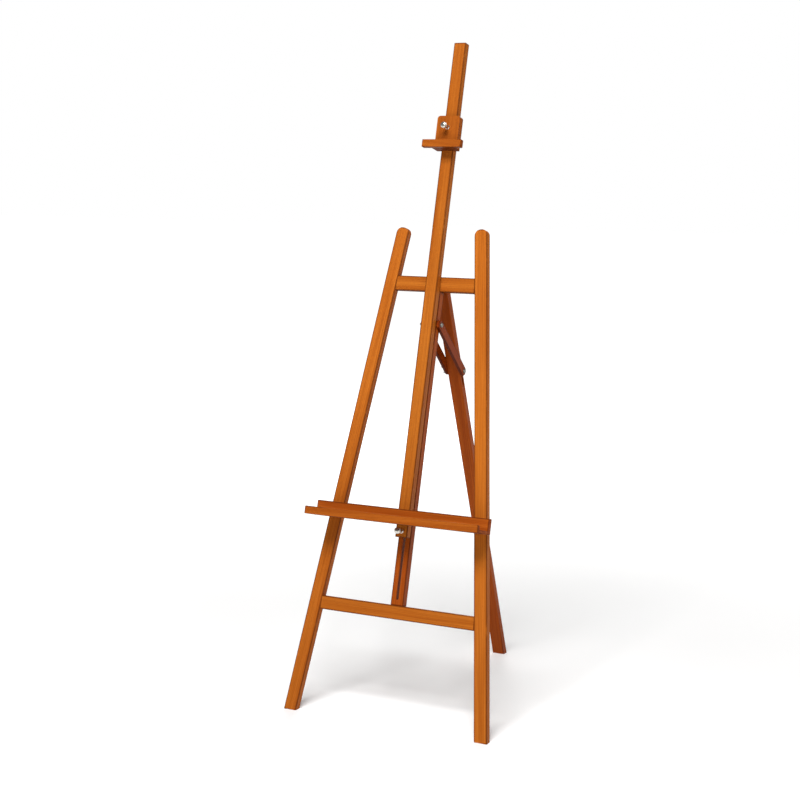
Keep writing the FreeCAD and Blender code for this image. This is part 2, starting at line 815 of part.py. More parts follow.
# ---------------------------------------------------------------- canvas clamp
def clamp_block():
    """L-shaped block with a cove over its shelf, rounded shoulders and a groove for the mast."""
    body = new_body("clamp_block", frame_at(size("clamp_level")))
    back = f"-{CLAMP_BACK}"
    front = f"-{CLAMP_FRONT}"
    shelf = f"-{LEDGE_BACK}"
    points = [(back, "0"), (back, "clamp_height"), (front, "clamp_height"), (front, "ledge_height"),
              (shelf, "ledge_height"), (shelf, "0")]
    pad(body, outline(body, "YZ", points), "clamp_width", symmetric=True)
    top = size("clamp_height")
    shoulder = size("clamp_width") / 2
    soften(body, "clamp_shoulder_radius",
           runs_along("y", lambda place: place.z > top - TOUCH and abs(place.x) > shoulder - TOUCH))
    step = size("ledge_height")
    soften(body, "clamp_cove_radius",
           runs_along("x", lambda place: abs(place.z - step) < TOUCH and is_inner(place)))
    half = "(mast_width / 2 + clamp_gap)"
    groove = rectangle(body, "XZ", (f"-{half}", half), ("-clamp_height", "2 * clamp_height"), CLAMP_BACK)
    pocket(body, groove, f"{MAST_FRONT} + clamp_gap - {CLAMP_BACK}", along_normal=True)
    pocket(body, circle(body, "XZ", "screw_diameter + 2 * bore_gap", y="clamp_screw_rise"))
    return body


def is_inner(place):
    """True for the inner corner of the clamp block, where the shelf leaves the upright."""
    front = leg_front + size("slide_gap") + size("mast_thickness") + size("clamp_overhang")
    return abs(place.y + front) < TOUCH


def clamp_ledge():
    body = new_body("clamp_ledge", frame_at(size("clamp_level")))
    half = "ledge_length / 2"
    face = rectangle(body, "XZ", (f"-{half}", half), ("0", "ledge_height"), LEDGE_BACK)
    pad(body, face, "ledge_thickness")
    soften(body, "edge_round", every_edge)
    return body


def ledge_dowels():
    """Pair of dowels from the shelf of the clamp block into the ledge bar."""
    joint = leg_front + size("slide_gap") + size("mast_thickness") + size("clamp_overhang")
    joint += size("ledge_reach") - size("ledge_thickness")
    level = size("clamp_level") + size("ledge_height") / 2
    pins = []
    for step in (-0.5, 0.5):
        spot = facing_front(level, step * size("ledge_dowel_spacing"))
        place = spot.multiply(turned(Vector(0, 0, joint)))
        pins.append(pin("ledge_dowel", "dowel_diameter", "ledge_dowel_length", place))
    return group("clamp_ledge_dowels", pins)


def clamp_insert():
    """Threaded bush in the clamp block, behind the thumbscrew."""
    body = new_body("clamp_insert", facing_front(size("clamp_level") + size("clamp_screw_rise")))
    rod(body, "insert_diameter", f"{MAST_FRONT} + clamp_gap", "insert_length")
    pocket(body, circle(body, "XY", "screw_diameter + 2 * bore_gap"))
    return body


def clamp_strap():
    """Bent steel strap round the back of the mast, with a flange against the block each side."""
    body = new_body("clamp_strap", frame_at(size("clamp_level") + size("strap_rise")))
    inner = "(mast_width / 2 + clamp_gap)"
    outer = f"({inner} + strap_thickness)"
    end = f"({outer} + strap_flange)"
    web = f"-({MAST_BACK} - clamp_gap)"
    web_back = f"-({MAST_BACK} - clamp_gap - strap_thickness)"
    seat = f"-{CLAMP_BACK}"
    seat_back = f"-({CLAMP_BACK} - strap_thickness)"
    right = [(inner, web), (inner, seat), (end, seat)]
    right += [(end, seat_back), (outer, seat_back), (outer, web_back)]
    left = [(f"-({x})", y) for x, y in reversed(right)]
    pad(body, outline(body, "XY", right + left), "strap_height")
    return body


def strap_screws():
    """Screws through both flanges of the strap into the back of the clamp block."""
    back = leg_front + size("slide_gap") + size("mast_thickness") + size("clamp_overhang")
    back -= size("clamp_thickness") + size("strap_thickness")
    across = size("mast_width") / 2 + size("clamp_gap") + size("strap_thickness") + size("strap_flange") / 2
    middle = size("clamp_level") + size("strap_rise") + size("strap_height") / 2
    screws = []
    for side in (-1, 1):
        for step in (-0.5, 0.5):
            place = facing_front(middle + step * size("strap_screw_spacing"), side * across)
            place = place.multiply(turned(Vector(0, 0, back)))
            screws.append(wood_screw("strap_screw", place, "strap_screw_diameter", "strap_screw_head",
                                     "strap_screw_length"))
    return group("clamp_strap_screws", screws)


# ---------------------------------------------------------------- assembly
floor = floor_block()
upper_dowels = node("upper_crossbar_dowels", bar_dowels("upper_dowels", size("upper_bar_level")))
lower_dowels = node("lower_crossbar_dowels", bar_dowels("lower_dowels", size("lower_bar_level")))
upright_dowels = node("center_post_dowels", post_dowels())
node("left_front_leg", fitted(front_leg(-1, "left_leg"), floor, upper_dowels, lower_dowels))
node("right_front_leg", fitted(front_leg(1, "right_leg"), floor, upper_dowels, lower_dowels))

frame_leaf_body = hinge_leaf("frame_leaf", HINGE, True, "hinge_standoff - leaf_thickness")
frame_leaf_screws = leaf_screws("frame_leaf", HINGE, size("leaf_thickness") - size("hinge_standoff"), 90)
hinge_pin = pin("pin", "hinge_pin_diameter", "hinge_length", HINGE.multiply(turned(Vector(), "y", 90)))
node("hinge_pin", hinge_pin)
node("hinge_frame_screws", frame_leaf_screws)
node("hinge_frame_leaf", fitted(frame_leaf_body, hinge_pin, frame_leaf_screws))

post_bolt = brace_bolt("post_bolt", "0", "knob_seat_gap")
leg_bolt = brace_bolt("leg_bolt", "-brace_length", "0")
node("brace_post_bolt", post_bolt)
node("brace_leg_bolt", leg_bolt)
node("center_post", fitted(center_post(), upright_dowels, post_bolt))
node("upper_crossbar", fitted(bar("upper_bar", "upper_bar_level", "upper_bar_depth"),
                              upper_dowels, upright_dowels, frame_leaf_screws))
node("lower_crossbar", fitted(bar("lower_bar", "lower_bar_level", "lower_bar_depth"),
                              lower_dowels, upright_dowels))

leg_leaf_screws = leaf_screws("leg_leaf", BACK_LEG, size("hinge_standoff") - size("leaf_thickness"), -90)
node("hinge_leg_screws", leg_leaf_screws)
node("hinge_leg_leaf", fitted(hinge_leaf("leg_leaf", BACK_LEG, False, "-hinge_standoff"), leg_leaf_screws))
node("back_leg", fitted(back_leg(), floor, leg_leaf_screws))

node("left_brace_arm", fitted(brace_arm("left_arm", -1), leg_bolt))
node("right_brace_arm", fitted(brace_arm("right_arm", 1), leg_bolt))
node("brace_post_washers", brace_washers("post_washers", "0", "knob_seat_gap"))
node("brace_leg_washers", brace_washers("leg_washers", "-brace_length", "0"))
node("brace_post_nut", fitted(brace_nut("post_nut", "0", "knob_seat_gap"), post_bolt))
node("brace_wing_nut", fitted(brace_nut("wing_nut", "-brace_length", "0", wings=True), leg_bolt))

guide = node("mast_guide_screw", guide_screw())
rail_fixings = node("tray_rail_screws", rail_screws())
board_pins = node("tray_board_dowels", board_dowels())
node("mast", fitted(mast(), guide, rail_fixings))
node("mast_guide_washer", guide_washer())
node("mast_lock_nut", lock_nut())
node("tray_rail", fitted(tray_rail(), rail_fixings, board_pins))
tray_floor = tray_board("tray_floor", RAIL_FRONT, LIP_BACK, "board_thickness")
node("tray_bottom", fitted(tray_floor, board_pins))
node("tray_lip", fitted(tray_lip(), board_pins))

lock_frame = facing_front(size("lock_level"))
lock_tail = f"{CHANNEL_FLOOR} - channel_gap - nut_thickness - bolt_proud"
lock_bolt = node("mast_lock_bolt", knob_screw("lock_screw", lock_frame, lock_tail, MAST_FRONT))
node("mast_lock_knob", fitted(knob("lock_knob", lock_frame, MAST_FRONT), lock_bolt))

clamp_frame = facing_front(size("clamp_level") + size("clamp_screw_rise"))
ledge_pins = node("clamp_ledge_dowels", ledge_dowels())
strap_fixings = node("clamp_strap_screws", strap_screws())
insert = node("clamp_insert", clamp_insert())
node("clamp_ledge", fitted(clamp_ledge(), ledge_pins))
node("clamp_strap", fitted(clamp_strap(), strap_fixings))
clamp_shank = knob_screw("clamp_shank", clamp_frame, f"{MAST_FRONT} + clamp_gap", CLAMP_FRONT)
clamp_screw = node("clamp_screw", clamp_shank)
node("clamp_knob", fitted(knob("clamp_head", clamp_frame, CLAMP_FRONT), clamp_screw))
node("clamp_block", fitted(clamp_block(), ledge_pins, strap_fixings, insert))

# ---------------------------------------------------------------- checks and export
doc.recompute()
LEAST_CUT = 0.01
for item in doc.Objects:
    failed = [state for state in item.State if state in ("Invalid", "Error")]
    if failed:
        raise RuntimeError(f"{item.Name} did not rebuild: {item.State}")
for name, before, after in cuts:
    if after > before - LEAST_CUT:
        raise RuntimeError(f"{name} removes nothing")
for piece in nodes:
    if piece.Shape.isNull() or not piece.Shape.isValid():
        raise RuntimeError(f"{piece.Label} has a bad shape")

os.makedirs("parts", exist_ok=True)
for piece in nodes:
    piece.Shape.exportStep(f"parts/{piece.Label}.step")
print(len(nodes), "sub-parts; arm angle", round(arm_angle(opening), 3), "folded", round(arm_angle(0), 3))
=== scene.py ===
"""Looks of the studio easel: varnished wood, plated hardware, a pale floor and soft light."""
import json
import math
import random

import bmesh
import bpy
import numpy as np
from mathutils import Matrix, Vector


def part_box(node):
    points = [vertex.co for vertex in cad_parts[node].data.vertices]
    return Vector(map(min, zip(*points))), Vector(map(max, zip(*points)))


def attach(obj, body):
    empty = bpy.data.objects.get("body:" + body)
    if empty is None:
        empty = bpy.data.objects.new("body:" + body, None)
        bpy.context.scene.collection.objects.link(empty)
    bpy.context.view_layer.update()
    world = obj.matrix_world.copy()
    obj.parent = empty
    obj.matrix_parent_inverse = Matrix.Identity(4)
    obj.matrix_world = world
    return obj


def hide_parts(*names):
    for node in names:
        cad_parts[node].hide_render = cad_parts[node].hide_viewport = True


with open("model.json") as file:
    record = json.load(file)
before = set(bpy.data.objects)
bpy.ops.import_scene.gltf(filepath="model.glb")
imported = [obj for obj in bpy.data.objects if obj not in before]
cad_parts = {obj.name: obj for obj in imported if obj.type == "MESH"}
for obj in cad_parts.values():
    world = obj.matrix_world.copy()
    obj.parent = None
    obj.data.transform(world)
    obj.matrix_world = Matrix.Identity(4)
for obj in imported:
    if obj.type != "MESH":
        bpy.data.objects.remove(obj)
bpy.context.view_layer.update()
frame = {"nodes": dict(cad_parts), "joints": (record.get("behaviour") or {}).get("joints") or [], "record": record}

random.seed(14)

# ---------------------------------------------------------------- directions of the leaning frame
joints = {joint["name"]: joint for joint in frame["joints"]}
SIDE = Vector((1, 0, 0))
UP = Vector(joints["mast_slide"]["axis"]).normalized()
FRONT = Vector(joints["mast_lock_turn"]["axis"]).normalized()


def points_of(node):
    """Vertices of a CAD node as rows of numbers, in metres."""
    return np.array([vertex.co for vertex in frame["nodes"][node].data.vertices], float)


def long_axis(node):
    """Direction of the longest straight edge of a CAD node, pointing up or to the right."""
    mesh = frame["nodes"][node].data
    ends = [(mesh.vertices[edge.vertices[0]].co, mesh.vertices[edge.vertices[1]].co) for edge in mesh.edges]
    first, second = max(ends, key=lambda pair: (pair[1] - pair[0]).length)
    axis = (second - first).normalized()
    return -axis if axis.z + axis.x < 0 else axis


def square_to(axis, normal):
    """The axis turned square to a normal."""
    return (axis - normal * axis.dot(normal)).normalized()


# ---------------------------------------------------------------- shader building blocks
class Graph:
    """Short way to write a node tree."""

    def __init__(self, name):
        self.material = bpy.data.materials.new(name)
        self.material.use_nodes = True
        self.tree = self.material.node_tree
        self.shader = self.tree.nodes["Principled BSDF"]

    def put(self, socket, value):
        if isinstance(value, bpy.types.NodeSocket):
            self.tree.links.new(value, socket)
        else:
            socket.default_value = value

    def node(self, kind, output, **inputs):
        made = self.tree.nodes.new(kind)
        for key, value in inputs.items():
            self.put(made.inputs[key.replace("_", " ")], value)
        return made.outputs[output]

    def math(self, operation, a, b=0.0, clamp=False):
        made = self.tree.nodes.new("ShaderNodeMath")
        made.operation = operation
        made.use_clamp = clamp
        self.put(made.inputs[0], a)
        self.put(made.inputs[1], b)
        return made.outputs[0]

    def vector(self, operation, a, b=(0, 0, 0), output=0):
        made = self.tree.nodes.new("ShaderNodeVectorMath")
        made.operation = operation
        self.put(made.inputs[0], a)
        self.put(made.inputs[1], b)
        return made.outputs[output]

    def stretched(self, place, scales):
        return self.vector("MULTIPLY", place, scales)

    def noise(self, place, detail=3.0, roughness=0.55, scale=1.0):
        return self.node("ShaderNodeTexNoise", "Fac", Vector=place, Scale=scale,
                         Detail=detail, Roughness=roughness)

    def band(self, value, low, high, start=0.0, end=1.0):
        """Smooth step of a value between two limits."""
        made = self.tree.nodes.new("ShaderNodeMapRange")
        made.interpolation_type = "SMOOTHSTEP"
        for key, number in (("Value", value), ("From Min", low), ("From Max", high),
                            ("To Min", start), ("To Max", end)):
            self.put(made.inputs[key], number)
        return made.outputs["Result"]

    def mix(self, factor, a, b, blend="MIX"):
        made = self.tree.nodes.new("ShaderNodeMix")
        made.data_type = "RGBA"
        made.blend_type = blend
        self.put(made.inputs[0], factor)
        self.put(made.inputs[6], a)
        self.put(made.inputs[7], b)
        return made.outputs[2]

    def bump(self, height, strength, distance):
        normal = self.node("ShaderNodeBump", "Normal", Strength=strength, Distance=distance,
                           Height=height)
        self.put(self.shader.inputs["Normal"], normal)

    def frame_of(self, rows, origin):
        """Object coordinates in a frame given by three unit rows and an origin."""
        place = self.node("ShaderNodeTexCoord", "Object")
        turn = Matrix(rows)
        shift = -(turn @ Vector(origin))
        return self.node("ShaderNodeMapping", "Vector", Vector=place,
                         Rotation=turn.to_euler(), Location=shift)


def colour(red, green, blue):
    return (red, green, blue, 1.0)


# ---------------------------------------------------------------- wood
STAIN_LIGHT = colour(0.470, 0.138, 0.015)
STAIN_MID = colour(0.355, 0.090, 0.008)
STAIN_DARK = colour(0.170, 0.029, 0.003)
# the darkest colour below is painted shade, laid on edges, undersides and slot walls
PAINTED_SHADE = colour(0.085, 0.016, 0.002)
BARE_LIGHT = colour(0.62, 0.42, 0.22)
BARE_DARK = colour(0.42, 0.25, 0.11)
EDGE = 0.0030  # width of the painted edge shade, in metres
RINGS_PER_METRE = 330


def wood(name, rows, origin, half, tone=1.0, redder=0.0, stained=True, slotted=0.0):
    """Varnished wood whose grain runs along the third row of the frame.

    half holds the piece's half sizes in that frame, for the painted shade along its edges.
    slotted is the half width within which walls that face across belong to a slot, darkened there as painted
    shade.
    """
    g = Graph(name)
    seed = Vector([random.uniform(-4, 4) for _ in range(3)])
    place = g.frame_of(rows, origin)
    split = g.tree.nodes.new("ShaderNodeSeparateXYZ")
    g.put(split.inputs[0], place)
    grain_place = g.vector("ADD", place, seed)

    # growth rings about a pith that lies well outside the batten, bent by slow waves
    waves = g.noise(g.stretched(grain_place, (9, 9, 2.2)), detail=2)
    wander = g.math("MULTIPLY", g.math("SUBTRACT", waves, 0.5), 0.018)
    pith = Vector((random.uniform(0.03, 0.07), random.choice((-1, 1)) * random.uniform(0.04, 0.09), 0))
    flat = g.vector("MULTIPLY", g.vector("ADD", place, pith), (1, 1, 0))
    reach = g.math("ADD", g.vector("LENGTH", flat, output=1), wander)
    ring = g.math("FRACT", g.math("MULTIPLY", reach, RINGS_PER_METRE))
    late_wood = g.math("MULTIPLY", g.band(ring, 0.45, 0.92), g.band(ring, 1.0, 0.94))

    fibres = g.noise(g.stretched(grain_place, (260, 260, 5)), detail=4, roughness=0.62)
    streaks = g.noise(g.stretched(grain_place, (70, 70, 1.6)), detail=3, roughness=0.6)
    cloud = g.noise(g.stretched(grain_place, (11, 11, 3.5)), detail=3)
    pore_noise = g.noise(g.stretched(grain_place, (1500, 1500, 75)), detail=2, roughness=0.5)
    pores = g.band(pore_noise, 0.60, 0.70)

    light, mid, dark = (STAIN_LIGHT, STAIN_MID, STAIN_DARK) if stained else (BARE_LIGHT, BARE_DARK, BARE_DARK)
    shade = g.mix(g.band(streaks, 0.34, 0.68), mid, light)
    shade = g.mix(g.math("MULTIPLY", g.band(fibres, 0.40, 0.72), 0.34), shade, dark)
    shade = g.mix(g.math("MULTIPLY", late_wood, 0.30), shade, dark)
    shade = g.mix(g.math("MULTIPLY", pores, 0.42), shade, dark)
    shade = g.mix(g.math("MULTIPLY", g.band(cloud, 0.40, 0.66), 0.45), shade, mid)

    # a narrow strip along the edges is darkened as painted shade, and a few spots on them are rubbed thin and
    # lighter
    near = []
    for axis in range(3):
        depth = g.math("SUBTRACT", half[axis], g.math("ABSOLUTE", split.outputs[axis]))
        near.append(g.band(depth, EDGE * 1.7, EDGE * 0.25))
    edge = g.math("MAXIMUM", g.math("MULTIPLY", near[0], near[1]), g.math("MULTIPLY", near[1], near[2]))
    edge = g.math("MAXIMUM", edge, g.math("MULTIPLY", near[0], near[2]))
    wear = g.noise(g.stretched(grain_place, (60, 60, 22)), detail=4)
    rubbed = g.math("MULTIPLY", edge, g.band(wear, 0.60, 0.68))
    # painted shade along the edges
    shade = g.mix(g.math("MULTIPLY", edge, 0.80), shade, PAINTED_SHADE)
    shade = g.mix(g.math("MULTIPLY", rubbed, 0.35), shade, light)

    # sawn ends drink more stain
    normal = g.node("ShaderNodeTexCoord", "Normal")
    facing = g.math("ABSOLUTE", g.vector("DOT_PRODUCT", normal, Vector(rows[2]), output=1))
    end = g.band(facing, 0.72, 0.93)
    shade = g.mix(g.math("MULTIPLY", end, 0.50), shade, dark)

    # undersides are darkened as painted shade
    below = g.vector("DOT_PRODUCT", normal, -UP, output=1)
    shade = g.mix(g.math("MULTIPLY", g.band(below, 0.45, 0.9), 0.80), shade, PAINTED_SHADE if stained else dark)
    # walls of the slot are darkened as painted shade in the recess
    if slotted:
        sideways = g.math("ABSOLUTE", g.vector("DOT_PRODUCT", normal, Vector(rows[0]), output=1))
        inside = g.band(g.math("ABSOLUTE", split.outputs[0]), slotted * 1.1, slotted)
        slot_wall_shade = g.math("MULTIPLY", inside, g.band(sideways, 0.3, 0.6))
        shade = g.mix(g.math("MULTIPLY", slot_wall_shade, 0.30), shade, PAINTED_SHADE)

    tint = colour(tone, tone * (1 - 0.38 * redder), tone * (1 - 0.45 * redder))
    shade = g.mix(1.0, shade, tint, "MULTIPLY")
    g.put(g.shader.inputs["Base Color"], shade)

    gloss = g.math("ADD", g.math("MULTIPLY", fibres, 0.16), 0.36)
    gloss = g.math("ADD", gloss, g.math("MULTIPLY", cloud, 0.10))
    gloss = g.math("ADD", gloss, g.math("MULTIPLY", end, 0.18), clamp=True)
    g.put(g.shader.inputs["Roughness"], gloss)
    relief = g.math("SUBTRACT", g.math("MULTIPLY", fibres, 0.55), g.math("MULTIPLY", pores, 0.8))
    relief = g.math("SUBTRACT", relief, g.math("MULTIPLY", late_wood, 0.25))
    g.bump(relief, 0.35, 0.0003)
    g.shader.inputs["IOR"].default_value = 1.20
    g.shader.inputs["Specular IOR Level"].default_value = 0.30
    g.shader.inputs["Specular Tint"].default_value = colour(1.0, 0.66, 0.36)
    g.shader.inputs["Coat Weight"].default_value = 0.05 if stained else 0.0
    g.shader.inputs["Coat Roughness"].default_value = 0.25
    return g.material


# ---------------------------------------------------------------- metals
def metal(name, rows, origin, dark, light, rough, turned=0.0, spangle=0.0):
    """Plated or plain metal; turned is the pitch of lathe marks about the third row, in metres."""
    g = Graph(name)
    place = g.frame_of(rows, origin)
    smudge = g.noise(place, detail=4, scale=90.0)
    fine = g.noise(place, detail=3, scale=900.0)
    tone = g.mix(g.band(smudge, 0.35, 0.70), colour(*dark), colour(*light))
    if spangle:
        flake = g.node("ShaderNodeTexVoronoi", "Color", Vector=place, Scale=700.0)
        grey = g.vector("DOT_PRODUCT", flake, (0.33, 0.33, 0.33), output=1)
        tone = g.mix(g.math("MULTIPLY", grey, spangle), tone, colour(*dark))
    scratches = g.noise(g.stretched(place, (3200, 260, 3200)), detail=2)
    tone = g.mix(g.math("MULTIPLY", g.band(scratches, 0.62, 0.74), 0.20), tone, colour(*dark))
    g.put(g.shader.inputs["Base Color"], tone)
    gloss = g.math("ADD", g.math("MULTIPLY", smudge, rough), rough * 0.55)
    g.put(g.shader.inputs["Roughness"], g.math("ADD", gloss, g.math("MULTIPLY", fine, 0.06), clamp=True))
    relief = g.math("MULTIPLY", fine, 0.4)
    if turned:
        rim = g.vector("LENGTH", g.vector("MULTIPLY", place, (1, 1, 0)), output=1)
        groove = g.math("SINE", g.math("MULTIPLY", rim, 2 * math.pi / turned))
        relief = g.math("ADD", relief, g.math("MULTIPLY", groove, 0.3))
    g.bump(relief, 0.25, 0.00006)
    g.shader.inputs["Metallic"].default_value = 1.0
    return g.material


def dress(thing, material):
    """Give every face of a piece one material."""
    thing.data.materials.clear()
    thing.data.materials.append(material)


# ---------------------------------------------------------------- wooden pieces
def paint_wood(node, rows, tone, redder, slotted=0.0):
    """Wood for one node, with its grain along the third row and its edges where its box ends."""
    turn = np.array(rows)
    spread = points_of(node) @ turn.T
    middle = (spread.max(0) + spread.min(0)) / 2
    half = (spread.max(0) - spread.min(0)) / 2
    rows = [tuple(row) for row in turn]
    material = wood("wood_" + node, rows, tuple(middle @ turn), tuple(half), tone, redder, slotted=slotted)
    dress(frame["nodes"][node], material)


def paint_batten(node, normal, tone=1.0, redder=0.0, slotted=0.0):
    """Wood with its grain along the batten's longest edge; normal points out of its broad face."""
    along = square_to(long_axis(node), normal)
    across = normal.cross(along).normalized()
    paint_wood(node, [across, normal, along], tone, redder, slotted)


paint_batten("left_front_leg", FRONT, 1.02, 0.1)
paint_batten("right_front_leg", FRONT, 1.08)
paint_batten("upper_crossbar", FRONT, 0.98)
paint_batten("lower_crossbar", FRONT, 1.02)
# the centre post's darker, redder tone is painted shade, for the shadow of the tray and mast on it
paint_batten("center_post", FRONT, 0.80, 0.75, slotted=0.010)
paint_batten("mast", FRONT, 0.96)
paint_batten("tray_rail", FRONT, 1.02, 0.5)
paint_batten("tray_bottom", UP, 0.98, 0.4)
paint_batten("tray_lip", FRONT, 0.86, 0.3)
paint_batten("clamp_ledge", FRONT, 0.84, 0.2)
# the back leg and brace arms are toned darker and redder as painted shade, for their place behind the frame,
# facing the floor
paint_batten("back_leg", square_to(FRONT, long_axis("back_leg")), 0.80, 0.8)
paint_batten("left_brace_arm", SIDE, 0.66, 1.1)
paint_batten("right_brace_arm", SIDE, 0.70, 1.1)


UP_ROWS = [tuple(FRONT), tuple(SIDE), tuple(UP)]
paint_wood("clamp_block", UP_ROWS, 0.82, 0.25)

dowel_wood = wood("wood_dowel", UP_ROWS, (0, 0, 0), (1, 1, 1), stained=False)
for node in ("upper_crossbar_dowels", "lower_crossbar_dowels", "center_post_dowels", "clamp_ledge_dowels",
             "tray_board_dowels"):
    dress(frame["nodes"][node], dowel_wood)

# ---------------------------------------------------------------- metal pieces
NICKEL = ((0.50, 0.48, 0.43), (0.80, 0.78, 0.72))
ZINC = ((0.33, 0.33, 0.32), (0.60, 0.60, 0.57))
DULL_ZINC = ((0.16, 0.15, 0.13), (0.34, 0.32, 0.28))
BRASS = ((0.42, 0.29, 0.10), (0.72, 0.54, 0.22))
AXIS_ROWS = [tuple(SIDE), tuple(UP), tuple(FRONT)]
SIDE_ROWS = [tuple(UP), tuple(FRONT), tuple(SIDE)]


def middle_of(node):
    low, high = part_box(node)
    return (low + high) / 2


def metal_for(node, kind, rows, rough, turned=0.0, spangle=0.0):
    material = metal("metal_" + node, rows, middle_of(node), kind[0], kind[1], rough, turned, spangle)
    dress(frame["nodes"][node], material)


for node in ("brace_post_bolt", "brace_leg_bolt"):
    metal_for(node, DULL_ZINC, SIDE_ROWS, 0.42, turned=0.0005)
for node in ("brace_post_washers", "brace_leg_washers"):
    metal_for(node, DULL_ZINC, SIDE_ROWS, 0.42, turned=0.0007, spangle=0.4)
for node in ("brace_post_nut", "mast_lock_nut"):
    metal_for(node, ZINC, SIDE_ROWS, 0.36, spangle=0.5)
for node in ("mast_guide_screw", "mast_guide_washer", "clamp_screw", "mast_lock_bolt"):
    metal_for(node, ZINC, AXIS_ROWS, 0.30, turned=0.0006)
for node in ("hinge_frame_leaf", "hinge_leg_leaf", "clamp_strap"):
    metal_for(node, ZINC, AXIS_ROWS, 0.38, spangle=0.6)
metal_for("hinge_pin", ZINC, SIDE_ROWS, 0.30)
metal_for("clamp_insert", BRASS, AXIS_ROWS, 0.30, turned=0.0005)

# ---------------------------------------------------------------- turned and cast pieces
MM = 0.001
SHARP_ANGLE = math.radians(38)


def turned_mesh(name, place, profile, count=64, ridges=0, ridge_depth=0.0, ridge_heights=(0, 0)):
    """Closed solid of revolution from (height, radius) pairs, with straight knurls over some heights."""
    mesh = bmesh.new()
    rings = []
    for height, radius in profile:
        if radius < 1e-6:
            rings.append([mesh.verts.new(place @ Vector((0, 0, height)))])
            continue
        ring = []
        for step in range(count):
            angle = 2 * math.pi * step / count
            reach = radius
            if ridges and ridge_heights[0] <= height <= ridge_heights[1]:
                reach -= ridge_depth * (0.5 - 0.5 * math.cos(ridges * angle))
            spot = Vector((reach * math.cos(angle), reach * math.sin(angle), height))
            ring.append(mesh.verts.new(place @ spot))
        rings.append(ring)
    for lower, upper in zip(rings, rings[1:]):
        for step in range(count):
            after = (step + 1) % count
            corners = [lower[step % len(lower)], lower[after % len(lower)],
                       upper[after % len(upper)], upper[step % len(upper)]]
            corners = list(dict.fromkeys(corners))
            if len(corners) > 2:
                mesh.faces.new(corners)
    bmesh.ops.recalc_face_normals(mesh, faces=mesh.faces)
    data = bpy.data.meshes.new(name)
    mesh.to_mesh(data)
    mesh.free()
    data.shade_smooth()
    data.set_sharp_from_angle(angle=SHARP_ANGLE)
    thing = bpy.data.objects.new(name, data)
    bpy.context.scene.collection.objects.link(thing)
    return thing


def axis_place(origin, axis, across=None):
    """Matrix whose Z runs along an axis from an origin."""
    across = square_to(across or (SIDE if abs(axis.x) < 0.9 else UP), axis)
    turn = Matrix((across, axis.cross(across), axis)).transposed().to_4x4()
    return Matrix.Translation(origin) @ turn


def body_of(node):
    for body, members in frame["record"]["behaviour"]["bodies"].items():
        if node in members:
            return body
    raise KeyError(node)


def stands_for(thing, node, material):
    """A finer piece takes the place of a CAD node."""
    dress(thing, material)
    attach(thing, body_of(node))
    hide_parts(node)


def reach_along(points, origin, axis):
    """Heights along an axis and distances from it, for a cloud of points."""
    offset = points - np.array(origin)
    heights = offset @ np.array(axis)
    return heights, np.linalg.norm(offset - np.outer(heights, np.array(axis)), axis=1)


def make_knob(node, shank, joint):
    """Knurled, domed knob with a waisted neck and a collar, over the end of its shank."""
    origin = Vector(joints[joint]["pos_m"])
    heights, radii = reach_along(points_of(node), origin, FRONT)
    low, high, wide = heights.min(), heights.max(), radii.max()
    bore_end = reach_along(points_of(shank), origin, FRONT)[0].max() + 0.2 * MM
    bore = 3.06 * MM
    head = high - 9.0 * MM
    profile = [(bore_end, 0), (bore_end, bore), (low, bore), (low, 5.9 * MM), (low + 0.4 * MM, 6.5 * MM),
               (low + 1.5 * MM, 6.5 * MM), (low + 1.9 * MM, 6.1 * MM), (low + 2.4 * MM, 5.1 * MM),
               (low + 3.4 * MM, 4.6 * MM), (low + 6.0 * MM, 4.2 * MM), (head - 5.0 * MM, 4.1 * MM),
               (head - 2.4 * MM, 4.5 * MM), (head - 1.0 * MM, 5.5 * MM), (head, 7.0 * MM),
               (head + 0.3 * MM, 8.2 * MM), (head + 0.8 * MM, wide), (head + 1.0 * MM, wide),
               (head + 5.6 * MM, wide), (head + 5.8 * MM, wide), (head + 6.2 * MM, 8.5 * MM),
               (head + 6.4 * MM, 7.7 * MM), (head + 6.7 * MM, 7.4 * MM), (head + 7.1 * MM, 7.2 * MM),
               (head + 7.8 * MM, 6.2 * MM), (head + 8.4 * MM, 4.4 * MM), (head + 8.85 * MM, 2.2 * MM),
               (high, 0)]
    knob = turned_mesh("turned_" + node, axis_place(origin, FRONT), profile, count=216, ridges=36,
                       ridge_depth=0.5 * MM, ridge_heights=(head + 0.9 * MM, head + 5.7 * MM))
    material = metal("metal_" + node, AXIS_ROWS, origin, NICKEL[0], NICKEL[1], 0.26)
    stands_for(knob, node, material)


def islands(node):
    """Clouds of points of the separate solids of one node."""
    data = frame["nodes"][node].data
    parent = list(range(len(data.vertices)))

    def root(item):
        while parent[item] != item:
            parent[item] = parent[parent[item]]
            item = parent[item]
        return item

    for edge in data.edges:
        parent[root(edge.vertices[0])] = root(edge.vertices[1])
    spots = {}
    for item, vertex in enumerate(data.vertices):
        key = tuple(round(value, 6) for value in vertex.co)
        spots.setdefault(key, item)
        parent[root(item)] = root(spots[key])
    groups = {}
    for item, vertex in enumerate(data.vertices):
        groups.setdefault(root(item), []).append(tuple(vertex.co))
    return [np.array(group) for group in groups.values()]


def screw_shape(points):
    """Place of a screw's head face, its length, shank radius and head radius."""
    centre = points.mean(0)
    axis = np.linalg.svd(points - centre, full_matrices=False)[2][0]
    heights, radii = reach_along(points, centre, axis)
    middle = (heights.max() + heights.min()) / 2
    if radii[heights > middle].max() < radii[heights <= middle].max():
        axis, heights = -axis, -heights
    ends = points[heights > heights.max() - 1e-5]
    top = (ends.max(0) + ends.min(0)) / 2
    heights, radii = reach_along(points, top, axis)
    shank = radii[heights < heights.min() + 1e-5].max()
    return Vector(top), Vector(axis), -heights.min(), shank, radii.max()


HEAD_RINGS = (0.95, 0.86, 0.76, 0.66, 0.60, 0.52, 0.44, 0.36, 0.28, 0.20, 0.12)  # shares of the head radius


